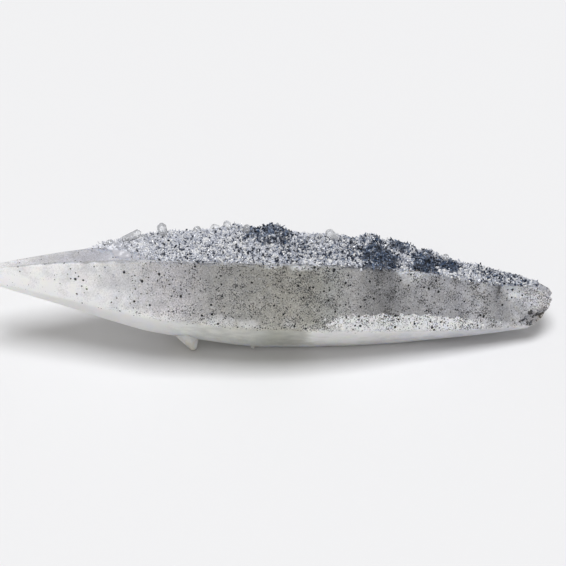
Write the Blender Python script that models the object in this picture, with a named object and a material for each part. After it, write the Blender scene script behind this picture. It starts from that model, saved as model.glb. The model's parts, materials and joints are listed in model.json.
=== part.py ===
"""Laser quartz cluster: one long, tapering quartz crystal that lies on a prism face.

A crust of small crystals (a druse) has grown over its top and its upper back face, with a few
dark mineral lumps in it. The crystal rests on the flat under its belly and on the tip of a small
side crystal, so its tapering point is raised a little and its broken end is lower. All of it grew
together, so it is one solid. Metres, +Z up, +X towards the broken end, -Y towards the bare front
face. The origin is under the middle of the crystal, on the surface that it lies on.
"""

import math
import random

import bmesh
import bpy
from mathutils import Matrix, Vector, noise

MM = 0.001  # every dimension below is in millimetres
NODE_NAME = "laser_quartz_crystal"

# ---------------------------------------------------------------- driving dimensions
TIP_X = -54.5
PYRAMID_BASE_X = -50.5

# The axis leans: it is AXIS_HEIGHT above the surface at LEVEL_X, and falls towards +X.
AXIS_HEIGHT = 10.5
LEVEL_X = 9.6
AXIS_FALL = 0.109  # per millimetre of X

# The broken end: its rings start at BREAK_START_X and reach BREAK_END_X, less a set-back at the
# head and at the foot. Each ring is (share of that reach, scale of the section).
BREAK_START_X = 49.6
BREAK_END_X = 54.7
BREAK_HEAD_SET_BACK = 1.9
BREAK_FOOT_SET_BACK = 4.1
BREAK_RINGS = ((0.5, 0.97), (0.88, 0.84), (1.0, 0.45))
BREAK_ROUGHNESS = 0.5
BREAK_GRAIN_SIZE = 1.1

# The six prism faces, by the direction that each looks in: 0 is straight to the front, 90 up.
FACE_DEGREES = (90, 30, -30, -90, -150, 150)
TOP, FRONT, LOW_FRONT, BOTTOM, LOW_BACK, UP_BACK = range(6)

# Distance of each face from the axis (top, front, low front, bottom, low back, up back) along X.
# The bottom's distance is capped at the axis's height, which makes the flat under the belly.
STATIONS = (
    (-50.5, (2.3, 1.7, 1.9, 2.0, 1.8, 1.6)),
    (-44.3, (4.1, 3.0, 3.3, 3.4, 3.1, 2.8)),
    (-38.6, (5.7, 4.4, 4.5, 4.9, 4.3, 3.8)),
    (-33.3, (7.0, 5.6, 5.8, 6.3, 5.4, 4.6)),
    (-27.5, (8.5, 7.1, 7.1, 7.9, 6.6, 6.0)),
    (-22.2, (9.7, 8.3, 8.1, 9.1, 7.6, 7.4)),
    (-12.9, (10.6, 9.2, 8.9, 10.5, 8.5, 8.5)),
    (-3.6, (11.4, 9.9, 9.45, 11.6, 9.0, 9.1)),
    (5.9, (11.7, 10.0, 9.3, 11.1, 9.1, 8.9)),
    (15.4, (11.3, 9.2, 8.8, 10.3, 8.8, 8.6)),
    (25.0, (10.0, 7.6, 7.8, 8.7, 8.0, 7.7)),
    (34.7, (8.2, 5.9, 6.8, 6.6, 6.8, 6.1)),
    (44.4, (6.0, 4.1, 5.5, 4.4, 5.3, 4.4)),
    (50.6, (4.8, 2.8, 4.4, 3.2, 4.2, 3.6)),
)

# The crust on the top and the upper back face.
CRUST_START_X = -34.1
CRUST_FULL_X = -20.6
CRUST_THIN_X = 25.4
CRUST_END_X = 50.6
CRUST_THICKNESS = 1.1
CRUST_END_SHARE = 0.35  # of the full thickness, at the broken end
CRUST_WIDTH = 18.0  # from the front edge over the ridge to the back edge, at the middle
CRUST_SWELL_SIZE = 4.5  # size of its gentle swells
CRUST_GRAIN_SIZE = 1.5  # and of the rough grain on them
CRUST_GRAIN_HEIGHT = 0.75
CRUST_UNEVEN = 0.35  # how far its points stray from even rows, as a share of the row's gap

# Mesh counts: sections along the body, and columns across each prism face.
SECTIONS = 76
SECTION_GAP = (BREAK_START_X - PYRAMID_BASE_X) / SECTIONS
COLUMNS = (6, 1, 1, 1, 1, 9)

# Small crystals of the crust.
CRUST_SEED = 3
DRUSE_SEED = 11
DRUSE_COUNT = 175
DRUSE_RADIUS = (0.5, 0.95)
DRUSE_LENGTH = (1.3, 2.0)
DRUSE_LEAN_DEGREES = 40
DRUSE_SHARE_ON_TOP = 0.5  # the rest of them are on the back face
DRUSE_TOP_ACROSS = (0.1, 1.0)
DRUSE_BACK_ACROSS = (1.0, 1.85)
DRUSE_START_X = -31.6
DRUSE_END_X = 49.6
DRUSE_START_SIZE = 0.55  # of the full size, where the crust starts
DRUSE_TAPER = 0.9  # a small crystal's width at its head over that at its root
SUNK = 0.8  # length of a small crystal that is inside what it grows from

# Places on the crust are (x, across): across is 0 at the top face's front edge, 1 at the ridge
# where the two crusted faces meet, and 2 at the back face's lower edge.

# Larger crystals that stand out of the crust: x, across, radius, length, lean along X in degrees.
LARGE_CRYSTALS = (
    (-29.1, 0.95, 1.2, 1.9, -10),
    (-26.5, 0.95, 0.9, 3.9, 62),
    (-22.9, 0.95, 0.6, 2.0, 5),
    (-20.0, 0.95, 1.1, 2.5, -6),
    (-13.1, 1.05, 0.9, 1.8, 25),
    (-6.9, 1.0, 0.8, 1.8, -15),
    (-3.6, 0.95, 0.8, 1.8, 12),
    (3.7, 1.05, 1.9, 2.4, 5),
    (10.0, 1.0, 0.9, 1.9, 20),
    (13.0, 0.95, 1.1, 2.6, -38),
    (16.9, 1.5, 1.5, 3.2, 30),
    (-8.6, 1.6, 1.4, 3.2, -25),
    (1.4, 1.75, 1.2, 2.8, 20),
    (26.5, 1.55, 1.2, 2.8, -15),
    (33.8, 0.95, 0.8, 1.9, 20),
)

# Lumps of dark mineral that swell the crust: x, across, half length, half width, height.
DARK_LUMPS = (
    (1.1, 0.80, 4.4, 2.8, 1.5),
    (19.3, 0.80, 3.4, 2.6, 1.7),
    (21.6, 0.38, 4.2, 2.0, 1.3),
    (25.7, 1.00, 3.0, 1.6, 1.3),
    (29.7, 0.50, 2.6, 2.2, 1.3),
    (34.1, 0.55, 2.0, 1.6, 0.9),
    (10.9, 1.50, 4.2, 3.2, 1.3),
    (-16.1, 1.55, 3.6, 2.6, 1.1),
)

# Side crystals under the belly: x, y, z of the root in the body, direction in degrees as for the
# faces, lean along X in degrees, radius at the root, radius at the head, height of the head's
# pyramid, whole length. The stub reaches down to the surface and props the crystal up.
STUB = (-15.2, -3.0, 4.4, -70, 16, 2.6, 0.9, 0.4, 4.843)
NUB = (-2.7, -3.9, 1.3, -42, 0, 0.8, 0.35, 0.2, 1.4)


def direction(degrees):
    """Unit vector across the axis: 0 looks to the front (-Y), 90 looks up."""
    angle = math.radians(degrees)
    return Vector((0.0, -math.cos(angle), math.sin(angle)))


def smooth_step(low, high, value):
    """0 up to low, 1 from high, and smooth between them. Low may be the larger of the two."""
    share = min(1.0, max(0.0, (value - low) / (high - low)))
    return share * share * (3.0 - 2.0 * share)


def axis_height(x):
    """Height of the crystal's axis above the surface that it lies on."""
    return AXIS_HEIGHT - AXIS_FALL * (x - LEVEL_X)


def face_distances(x):
    """The six faces' distances from the axis at x, on a smooth curve through the stations."""
    last = len(STATIONS) - 2
    i = next((i for i in range(last) if x < STATIONS[i + 1][0]), last)
    (x0, near), (x1, far) = STATIONS[i], STATIONS[i + 1]
    x_before, before = STATIONS[max(i - 1, 0)]
    x_after, after = STATIONS[min(i + 2, len(STATIONS) - 1)]
    t = (x - x0) / (x1 - x0)
    found = []
    for p, a, b, q in zip(before, near, far, after):
        slope_a = (b - p) / (x1 - x_before) * (x1 - x0)
        slope_b = (q - a) / (x_after - x0) * (x1 - x0)
        found.append(
            (2 * t**3 - 3 * t**2 + 1) * a
            + (t**3 - 2 * t**2 + t) * slope_a
            + (3 * t**2 - 2 * t**3) * b
            + (t**3 - t**2) * slope_b
        )
    found[BOTTOM] = min(found[BOTTOM], axis_height(x))
    return found


def corner(distances, face):
    """Where a face meets the next one round, as (y, z) from the axis."""
    after = (face + 1) % 6
    n, m = direction(FACE_DEGREES[face]), direction(FACE_DEGREES[after])
    a, b = distances[face], distances[after]
    scale = 1.0 / (n.y * m.z - n.z * m.y)
    return Vector((0.0, (a * m.z - b * n.z) * scale, (b * n.y - a * m.y) * scale))


def on_face(x, face, share):
    """Point on a bare prism face: share 0 is at the edge to the face before it, 1 at the next."""
    distances = face_distances(x)
    start = corner(distances, (face - 1) % 6)
    end = corner(distances, face)
    across = start.lerp(end, share)
    return Vector((x, across.y, across.z + axis_height(x)))


def crust_place(across):
    """(face, share on it) for a place across the crust."""
    return (TOP, 1.0 - across) if across < 1.0 else (UP_BACK, 2.0 - across)


def face_width(x, face):
    """How wide a prism face is at x."""
    distances = face_distances(x)
    return (corner(distances, face) - corner(distances, (face - 1) % 6)).length


def lump_height(x, face, across):
    """How far the dark lumps swell the crust there, as smooth domes."""
    height = 0.0
    for lump_x, lump_across, half_length, half_width, rise in DARK_LUMPS:
        along = (x - lump_x) / half_length
        sideways = (across - lump_across) * face_width(x, face) / half_width
        height += rise * smooth_step(1.15, 0.35, math.hypot(along, sideways))
    return height


def crust_thickness(x, face, share):
    """Thickness of the crust on a face. It is nothing at the crust's front and back edges."""
    across = 1.0 - share if face == TOP else 2.0 - share
    along = smooth_step(CRUST_START_X, CRUST_FULL_X, x)
    along *= 1.0 - (1.0 - CRUST_END_SHARE) * smooth_step(CRUST_THIN_X, CRUST_END_X, x)
    edges = smooth_step(0.0, 0.2, across) * smooth_step(2.0, 1.75, across)
    place = Vector((x, 0.5 * CRUST_WIDTH * across, 0.0))
    swells = 0.75 + 0.9 * noise.noise(place / CRUST_SWELL_SIZE)
    grain = CRUST_GRAIN_HEIGHT * noise.noise(place / CRUST_GRAIN_SIZE)
    thickness = CRUST_THICKNESS * swells + grain + lump_height(x, face, across)
    return along * edges * max(thickness, 0.1)


def outward(face, share):
    """The way the crust grows. Over the ridge between its two faces it turns smoothly."""
    degrees = FACE_DEGREES[face]
    if face == TOP:
        degrees += 30.0 * smooth_step(0.6, 0.0, share)
    if face == UP_BACK:
        degrees -= 30.0 * smooth_step(0.4, 1.0, share)
    return direction(degrees)


def crust_point(x, face, share, gap, dice):
    """Point on the crust. Where the crust is thick, it strays from its place in the even rows."""
    stray = CRUST_UNEVEN * smooth_step(CRUST_START_X, CRUST_FULL_X, x)
    stray *= smooth_step(CRUST_END_X, CRUST_THIN_X, x)
    x += stray * dice.uniform(-1.0, 1.0) * SECTION_GAP
    if share > 0.0:
        share += stray * dice.uniform(-1.0, 1.0) * gap
    return on_face(x, face, share) + crust_thickness(x, face, share) * outward(face, share)


def section(x, dice):
    """The ring of points round the crystal at x, crust included."""
    ring = []
    for face, columns in enumerate(COLUMNS):
        for column in range(columns):
            share = column / columns
            if face in (TOP, UP_BACK):
                ring.append(crust_point(x, face, share, 1.0 / columns, dice))
            else:
                ring.append(on_face(x, face, share))
    return ring


def broken_rings(last):
    """The rings of the broken end, whose foot is set back and whose surface is rough."""
    middle = sum(last, Vector()) / len(last)
    head = max(point.z for point in last)
    foot = min(point.z for point in last)
    rings = []
    for reach, scale in BREAK_RINGS:
        ring = []
        for point in last:
            found = middle + (point - middle) * scale
            height = (found.z - foot) / (head - foot)
            set_back = BREAK_FOOT_SET_BACK * smooth_step(1.0, 0.0, height) ** 3
            set_back += BREAK_HEAD_SET_BACK * smooth_step(0.6, 1.0, height)
            rough = BREAK_ROUGHNESS * noise.noise(found / BREAK_GRAIN_SIZE)
            found.x += reach * (BREAK_END_X - set_back - BREAK_START_X + rough)
            ring.append(found)
        rings.append(ring)
    return rings


def crystal_body():
    """The long crystal with its crust as one closed mesh: a loft between unlike sections."""
    dice = random.Random(CRUST_SEED)
    rings = [section(PYRAMID_BASE_X + i * SECTION_GAP, dice) for i in range(SECTIONS + 1)]
    rings += broken_rings(rings[-1])

    body = bmesh.new()
    loops = [[body.verts.new(point * MM) for point in ring] for ring in rings]
    tip = body.verts.new(Vector((TIP_X, 0.2, axis_height(TIP_X))) * MM)
    count = len(loops[-1])
    end = body.verts.new(sum((vert.co for vert in loops[-1]), Vector()) / count)
    for i in range(count):
        j = (i + 1) % count
        body.faces.new((tip, loops[0][i], loops[0][j]))
        body.faces.new((end, loops[-1][j], loops[-1][i]))
        for near, far in zip(loops, loops[1:]):
            body.faces.new((near[i], far[i], far[j], near[j]))
    bmesh.ops.recalc_face_normals(body, faces=body.faces)
    return body


def add_point(mesh, root, way, radii, length, pyramid, turn):
    """Adds a six-sided quartz crystal: a prism that ends in a pyramid, rooted at root."""
    shaft = length - pyramid
    made = bmesh.ops.create_cone(
        mesh,
        cap_ends=True,
        segments=6,
        radius1=radii[0] * MM,
        radius2=radii[1] * MM,
        depth=shaft * MM,
    )
    verts = made["verts"]
    bmesh.ops.translate(mesh, verts=verts, vec=(0.0, 0.0, 0.5 * shaft * MM))
    faces = {face for vert in verts for face in vert.link_faces}
    head = max(faces, key=lambda face: face.calc_center_median().z)
    peak = bmesh.ops.poke(mesh, faces=[head], offset=pyramid * MM)["verts"]
    aim = way.to_track_quat("Z", "X").to_matrix().to_4x4()
    place = Matrix.Translation(root * MM) @ aim @ Matrix.Rotation(turn, 4, "Z")
    bmesh.ops.transform(mesh, matrix=place, verts=verts + peak)


def grown_from_crust(x, across, lean_x, lean_across):
    """(root, direction) of something that grows out of the crust there."""
    face, share = crust_place(across)
    way = outward(face, share)
    thickness = crust_thickness(x, face, share)
    root = on_face(x, face, share) + (thickness - SUNK) * way
    side = way.cross(Vector((1.0, 0.0, 0.0)))
    leaning = Matrix.Rotation(math.radians(lean_x), 3, side)
    tilting = Matrix.Rotation(math.radians(lean_across), 3, Vector((1.0, 0.0, 0.0)))
    return root, tilting @ leaning @ way


def add_druse_crystal(mesh, root, way, radius, length, turn):
    """Adds one small crystal of the druse, which tapers a little and ends in a pyramid."""
    head_radius = DRUSE_TAPER * radius
    add_point(mesh, root, way, (radius, head_radius), length, head_radius, turn)


def druse(mesh):
    """The crust's own small crystals, scattered with even gaps, and its larger ones."""
    dice = random.Random(DRUSE_SEED)
    lean = DRUSE_LEAN_DEGREES
    for i in range(DRUSE_COUNT):
        share = (i + dice.random()) / DRUSE_COUNT
        x = DRUSE_START_X + (DRUSE_END_X - DRUSE_START_X) * share
        on_top = dice.random() < DRUSE_SHARE_ON_TOP
        across = dice.uniform(*(DRUSE_TOP_ACROSS if on_top else DRUSE_BACK_ACROSS))
        root, way = grown_from_crust(x, across, dice.uniform(-lean, lean), dice.uniform(-lean, lean))
        grown = smooth_step(CRUST_START_X, CRUST_FULL_X, x)
        size = DRUSE_START_SIZE + (1.0 - DRUSE_START_SIZE) * grown
        radius = size * dice.uniform(*DRUSE_RADIUS)
        length = SUNK + size * (dice.uniform(*DRUSE_LENGTH) - SUNK)
        add_druse_crystal(mesh, root, way, radius, length, dice.uniform(0.0, math.pi))
    for x, across, radius, length, lean_x in LARGE_CRYSTALS:
        root, way = grown_from_crust(x, across, lean_x, 0.0)
        add_druse_crystal(mesh, root, way, radius, length, dice.uniform(0.0, math.pi))


def side_crystals(mesh):
    """The stub and the nub, which grow down and forward from the belly."""
    for x, y, z, degrees, lean_x, root_radius, head_radius, pyramid, length in (STUB, NUB):
        way = direction(degrees) + math.tan(math.radians(lean_x)) * Vector((1.0, 0.0, 0.0))
        radii = (root_radius, head_radius)
        root = Vector((x, y, z))
        add_point(mesh, root, way.normalized(), radii, length, pyramid, math.radians(30))


def object_from(mesh, name, collection):
    """Makes an object of a bmesh, which it frees."""
    data = bpy.data.meshes.new(name)
    mesh.to_mesh(data)
    mesh.free()
    made = bpy.data.objects.new(name, data)
    collection.objects.link(made)
    return made


def new_collection(name):
    """Makes a collection in the scene."""
    made = bpy.data.collections.new(name)
    bpy.context.scene.collection.children.link(made)
    return made


def quartz_material():
    """Milky grey quartz with a frosted surface."""
    material = bpy.data.materials.new("milky_quartz")
    material.use_nodes = True
    shader = material.node_tree.nodes["Principled BSDF"]
    shader.inputs["Base Color"].default_value = (0.55, 0.56, 0.58, 1.0)
    shader.inputs["Roughness"].default_value = 0.32
    shader.inputs["IOR"].default_value = 1.544
    shader.inputs["Transmission Weight"].default_value = 0.3
    return material


def join_growths(crystal, growths):
    """Fuses everything in the growths mesh, which overlaps itself, to the crystal."""
    growths.hide_render = True
    growths.display_type = "WIRE"
    fuse = crystal.modifiers.new("grown_together", "BOOLEAN")
    fuse.operation = "UNION"
    fuse.solver = "EXACT"
    fuse.use_self = True
    fuse.object = growths
    evaluated = crystal.evaluated_get(bpy.context.evaluated_depsgraph_get())
    fused = bpy.data.meshes.new_from_object(evaluated)
    crystal.modifiers.clear()
    crystal.data = fused


def shell_of(vert):
    """Every vertex that edges connect to this one."""
    found, waiting = {vert}, [vert]
    while waiting:
        for edge in waiting.pop().link_edges:
            fresh = set(edge.verts) - found
            found |= fresh
            waiting.extend(fresh)
    return found


def fill_pockets(crystal):
    """Leaves only the outer shell, so that no pocket is sealed in between the small crystals."""
    mesh = bmesh.new()
    mesh.from_mesh(crystal.data)
    outer = shell_of(min(mesh.verts, key=lambda vert: vert.co.x))
    inner = [vert for vert in mesh.verts if vert not in outer]
    bmesh.ops.delete(mesh, geom=inner, context="VERTS")
    mesh.to_mesh(crystal.data)
    mesh.free()


def main():
    for old in list(bpy.data.objects):
        bpy.data.objects.remove(old)
    parts = new_collection("laser_quartz_cluster")
    cutters = new_collection("cutters")

    crystal = object_from(crystal_body(), NODE_NAME, parts)
    crystal.data.materials.append(quartz_material())

    growths = bmesh.new()
    druse(growths)
    side_crystals(growths)
    join_growths(crystal, object_from(growths, "growths", cutters))
    fill_pockets(crystal)


main()
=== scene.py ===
# %% [markdown]
# # A laser quartz cluster
#
# Laser quartz is a kind of rock crystal that grows long and slender and narrows to a point. This
# one lies on its belly and on a small side crystal, with its point a little raised. Its front is
# bare and looks like frosted glass. Its top and upper back wear a crust of tiny sparkling crystals
# (a druse) with masses of dark mineral in it, and its thick end is broken off.
#
# The packed model gives the object's real size and place. Everything below is built around it.

# %% Load the frame
import json
import math

import bmesh
import bpy
from mathutils import Matrix, Vector, noise

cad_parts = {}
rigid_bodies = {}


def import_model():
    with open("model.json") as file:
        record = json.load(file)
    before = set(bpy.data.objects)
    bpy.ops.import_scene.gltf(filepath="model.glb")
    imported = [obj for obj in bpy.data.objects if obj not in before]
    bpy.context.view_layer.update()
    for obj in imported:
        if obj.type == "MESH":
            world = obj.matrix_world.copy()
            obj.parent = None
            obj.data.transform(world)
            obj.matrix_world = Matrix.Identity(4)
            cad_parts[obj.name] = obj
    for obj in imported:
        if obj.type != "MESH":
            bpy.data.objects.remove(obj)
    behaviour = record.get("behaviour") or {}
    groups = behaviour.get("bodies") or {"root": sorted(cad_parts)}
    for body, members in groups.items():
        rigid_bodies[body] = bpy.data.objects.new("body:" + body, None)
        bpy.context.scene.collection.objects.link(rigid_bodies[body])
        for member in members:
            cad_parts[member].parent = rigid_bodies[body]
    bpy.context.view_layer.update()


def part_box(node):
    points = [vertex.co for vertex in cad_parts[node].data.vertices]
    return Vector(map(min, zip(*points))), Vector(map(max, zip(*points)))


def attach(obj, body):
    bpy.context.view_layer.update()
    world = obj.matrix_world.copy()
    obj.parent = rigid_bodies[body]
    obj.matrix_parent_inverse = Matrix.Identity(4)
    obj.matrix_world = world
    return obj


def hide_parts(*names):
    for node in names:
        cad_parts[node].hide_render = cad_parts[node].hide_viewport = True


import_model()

MM = 0.001
NODE = "laser_quartz_crystal"
low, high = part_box(NODE)
size_mm = [round(side / MM, 1) for side in high - low]
print("the packed crystal measures", size_mm, "mm")

# %% [markdown]
# ## Camera
#
# The camera looks down at 45 degrees from the front. A short lens close by would stretch the near
# side, so a long lens from half a metre away is used, which keeps the crystal's outline calm.

# %% Camera
IMAGE_SIDE = 566
AZIMUTH = math.radians(-1.8)
ELEVATION = math.radians(45)
FOCAL_LENGTH_PX = 2632
CAMERA_DISTANCE = 500 * MM
AIM = Vector((3.24, 0.69, 10.5)) * MM
AIM_RAISED = 1.35 * MM
SENSOR_WIDTH = 36

turn = Matrix.Rotation(AZIMUTH, 3, "Z")
towards_camera = turn @ Vector((0.0, -math.cos(ELEVATION), math.sin(ELEVATION)))
image_up = towards_camera.cross(turn @ Vector((1.0, 0.0, 0.0)))
camera = bpy.data.objects.new("camera", bpy.data.cameras.new("camera"))
bpy.context.scene.collection.objects.link(camera)
bpy.context.scene.camera = camera
camera.data.sensor_width = SENSOR_WIDTH
camera.data.lens = SENSOR_WIDTH * FOCAL_LENGTH_PX / IMAGE_SIDE
camera.data.clip_start = MM
camera.location = AIM + AIM_RAISED * image_up + CAMERA_DISTANCE * towards_camera
camera.rotation_mode = "QUATERNION"
camera.rotation_quaternion = (-towards_camera).to_track_quat("-Z", "Y")
print("lens", round(camera.data.lens, 1), "mm on a sensor of", SENSOR_WIDTH, "mm")

# %% [markdown]
# ## Material helpers
#
# The materials are all made of a few small steps, so a small class holds a material while it is
# being made, with one short method for each kind of step. Patterns read the Object coordinates,
# scaled to millimetres, so that they stay where they are on the crystal.

# %% Material helpers
QUARTZ_IOR = 1.544
SRGB_GAMMA = 2.4
RAMP_MIDDLE = 0.5
STIPPLE_BARE = 0.78
STIPPLE_FULL = 0.48
STIPPLE_EDGE = 0.04
LEAST_SPECK = 0.4
SPECK_EDGE = 0.15


def srgb(red, green, blue):
    """A colour as seen on a screen, from 0 to 255, as the linear values that shaders use."""
    shares = [channel / 255 for channel in (red, green, blue)]
    return (*[((c + 0.055) / 1.055) ** SRGB_GAMMA if c > 0.04 else c / 12.92 for c in shares], 1.0)


class Look:
    """A material while it is being made. Each method adds one step and returns its socket."""

    def __init__(self, name):
        self.material = bpy.data.materials.new(name)
        self.material.use_nodes = True
        self.nodes = self.material.node_tree.nodes
        self.links = self.material.node_tree.links
        self.places = None

    def feed(self, socket, value):
        """Gives an input a number, a colour or another step's result."""
        if isinstance(value, bpy.types.NodeSocket):
            self.links.new(value, socket)
        else:
            socket.default_value = value

    def surface(self, settings):
        """Sets inputs of the Principled shader by name."""
        for name, value in settings.items():
            self.feed(self.nodes["Principled BSDF"].inputs[name], value)

    def millimetres(self):
        """The Object coordinates in millimetres. They are made once."""
        if self.places is None:
            scaled = self.nodes.new("ShaderNodeMapping")
            scaled.inputs["Scale"].default_value = (1 / MM, 1 / MM, 1 / MM)
            coordinates = self.nodes.new("ShaderNodeTexCoord")
            self.links.new(coordinates.outputs["Object"], scaled.inputs["Vector"])
            self.places = scaled.outputs["Vector"]
        return self.places

    def x(self):
        """The place along the crystal in millimetres."""
        split = self.nodes.new("ShaderNodeSeparateXYZ")
        self.links.new(self.millimetres(), split.inputs["Vector"])
        return split.outputs["X"]

    def attribute(self, name):
        """A number that the mesh stores."""
        made = self.nodes.new("ShaderNodeAttribute")
        made.attribute_name = name
        return made.outputs["Fac"]

    def noise(self, size, detail=2.0):
        """Noise from 0 to 1 with features of about that size in millimetres."""
        made = self.nodes.new("ShaderNodeTexNoise")
        made.inputs["Scale"].default_value = 1.0 / size
        made.inputs["Detail"].default_value = detail
        self.links.new(self.millimetres(), made.inputs["Vector"])
        return made.outputs["Fac"]

    def math(self, operation, a, b=0.0):
        """The result of one sum. Each operand is a socket or a number."""
        made = self.nodes.new("ShaderNodeMath")
        made.operation = operation
        self.feed(made.inputs[0], a)
        self.feed(made.inputs[1], b)
        return made.outputs[0]

    def times(self, a, b):
        """One number times another."""
        return self.math("MULTIPLY", a, b)

    def less(self, a, b):
        """One number less another."""
        return self.math("SUBTRACT", a, b)

    def ripple(self, size, detail=2.0):
        """Noise about 0, from -0.5 to 0.5."""
        return self.less(self.noise(size, detail), 0.5)

    def swayed(self, value, size, reach):
        """The value, moved up and down by noise, at most about half of reach each way."""
        return self.math("ADD", value, self.times(self.ripple(size), reach))

    def ranged(self, value, from_low, from_high, to_low=0.0, to_high=1.0, smooth=True):
        """The value moved from one range to another, without overshoot."""
        made = self.nodes.new("ShaderNodeMapRange")
        made.interpolation_type = "SMOOTHSTEP" if smooth else "LINEAR"
        numbers = (value, from_low, from_high, to_low, to_high)
        for name, number in zip(("Value", "From Min", "From Max", "To Min", "To Max"), numbers):
            self.feed(made.inputs[name], number)
        return made.outputs["Result"]

    def band(self, value, rise, high, low, fall):
        """1 where value lies between high and low. It rises from rise and is back at 0 at fall."""
        return self.times(self.ranged(value, rise, high), self.ranged(value, fall, low))

    def mixed(self, share, a, b):
        """Colour a where share is 0 and b where it is 1."""
        made = self.nodes.new("ShaderNodeMix")
        made.data_type = "RGBA"
        self.feed(made.inputs["Factor"], share)
        for name, value in (("A", a), ("B", b)):
            self.feed(next(s for s in made.inputs if s.name == name and s.type == "RGBA"), value)
        return next(s for s in made.outputs if s.type == "RGBA")

    def shaded(self, colour, factor):
        """The colour times a number."""
        made = self.nodes.new("ShaderNodeVectorMath")
        made.operation = "SCALE"
        self.feed(made.inputs[0], colour)
        self.feed(made.inputs["Scale"], factor)
        return made.outputs[0]

    def ramp(self, value, stops):
        """A colour that changes along value. Stops are (value, linear colour) in rising order."""
        ramp = self.nodes.new("ShaderNodeValToRGB")
        first, last = stops[0][0], stops[-1][0]
        elements = ramp.color_ramp.elements
        while len(elements) < len(stops):
            elements.new(RAMP_MIDDLE)
        for element, (place, colour) in zip(elements, stops):
            element.position = (place - first) / (last - first)
            element.color = colour
        self.feed(ramp.inputs["Fac"], self.ranged(value, first, last, smooth=False))
        return ramp.outputs["Color"]

    def tones(self, value, stops):
        """The same, with colours as seen on a screen: (value, red, green, blue)."""
        return self.ramp(value, [(place, srgb(*colour)) for place, *colour in stops])

    def levels(self, value, stops):
        """A number that changes along value. Stops are (value, number) in rising order."""
        return self.ramp(value, [(place, (level, level, level, 1.0)) for place, level in stops])

    def stipple(self, size, cover, detail=1.0):
        """1 in small ragged grains. They cover little where cover is 0 and most where it is 1."""
        edge = self.ranged(cover, 0.0, 1.0, STIPPLE_BARE, STIPPLE_FULL, smooth=False)
        return self.ranged(self.less(self.noise(size, detail), edge), 0.0, STIPPLE_EDGE)

    def specks(self, gap, radius, share):
        """1 inside small round specks, that gap apart and in that share of the places."""
        cells = self.nodes.new("ShaderNodeTexVoronoi")
        cells.inputs["Scale"].default_value = 1.0 / gap
        self.links.new(self.millimetres(), cells.inputs["Vector"])
        split = self.nodes.new("ShaderNodeSeparateColor")
        self.links.new(cells.outputs["Color"], split.inputs["Color"])
        chosen = self.math("LESS_THAN", split.outputs["Red"], share)
        full = radius / gap
        size = self.ranged(split.outputs["Green"], 0.0, 1.0, LEAST_SPECK * full, full)
        edge = self.less(size, cells.outputs["Distance"])
        return self.times(self.ranged(edge, 0.0, SPECK_EDGE * full), chosen)


steps = [name for name in vars(Look) if not name.startswith("_")]
print("a material is made of", len(steps), "kinds of step")

# %% [markdown]
# ## Floor and light
#
# The crystal lies on white cloth under soft light from above. A detailed sky could light it, too,
# but one large lamp and an even, pale world are enough and easy to set: the lamp hangs almost
# straight above and gives the shadow its place and soft rim, and the world fills it. The floor is a
# plain pale plane. The view transform is Standard, which keeps the white white.

# %% Floor and light
FLOOR_SIDE = 4.0
FLOOR_COLOUR = (0.76, 0.76, 0.765, 1.0)
LAMP_SIDE = 1.8
LAMP_PLACE = Vector((0.0, -0.3, 3.8))
LAMP_WATTS = 119
LAMP_COLOUR = (0.985, 0.995, 1.02)
WORLD_COLOUR = (1.0, 0.98, 0.95, 1.0)
WORLD_STRENGTH = 0.41

cloth = Look("white_cloth")
cloth.surface({"Base Color": FLOOR_COLOUR, "Roughness": 1.0, "Specular IOR Level": 0.0})
floor_mesh = bmesh.new()
bmesh.ops.create_grid(floor_mesh, x_segments=1, y_segments=1, size=FLOOR_SIDE / 2)
floor = bpy.data.objects.new("floor", bpy.data.meshes.new("floor"))
floor_mesh.to_mesh(floor.data)
floor_mesh.free()
floor.data.materials.append(cloth.material)
bpy.context.scene.collection.objects.link(floor)

lamp = bpy.data.objects.new("overhead_lamp", bpy.data.lights.new("overhead_lamp", "AREA"))
lamp.data.size = LAMP_SIDE
lamp.data.energy = LAMP_WATTS
lamp.data.color = LAMP_COLOUR
lamp.location = LAMP_PLACE
lamp.rotation_mode = "QUATERNION"
lamp.rotation_quaternion = (AIM - LAMP_PLACE).to_track_quat("-Z", "Y")
bpy.context.scene.collection.objects.link(lamp)

world = bpy.data.worlds.new("pale_room")
world.use_nodes = True
background = world.node_tree.nodes["Background"]
background.inputs["Color"].default_value = WORLD_COLOUR
background.inputs["Strength"].default_value = WORLD_STRENGTH
bpy.context.scene.world = world
bpy.context.scene.view_settings.view_transform = "Standard"
print("lamp of", LAMP_WATTS, "W,", LAMP_SIDE, "m wide")

# %% [markdown]
# ## The shape of the long crystal
#
# A quartz prism has six faces, and each face keeps its direction while its distance from the axis
# changes along the crystal. It could be sculpted, but then the faces would lose their directions.
# So the whole body is a small table: at each station along X, the six distances. A smooth curve
# through the stations gives the distances anywhere, and two neighbouring faces meet where their
# planes cross. The axis leans a little: it falls towards the broken end.
# The numbers are the same as in the part's source, in millimetres, so the body lands exactly on
# the packed solid.

# %% The crystal's driving sizes, in millimetres
TIP_X = -54.5
PYRAMID_BASE_X = -50.5
AXIS_HEIGHT = 10.5
LEVEL_X = 9.6
AXIS_FALL = 0.109
BREAK_START_X = 49.6
BREAK_END_X = 54.7
BREAK_HEAD_SET_BACK = 1.9
BREAK_FOOT_SET_BACK = 4.1

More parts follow.
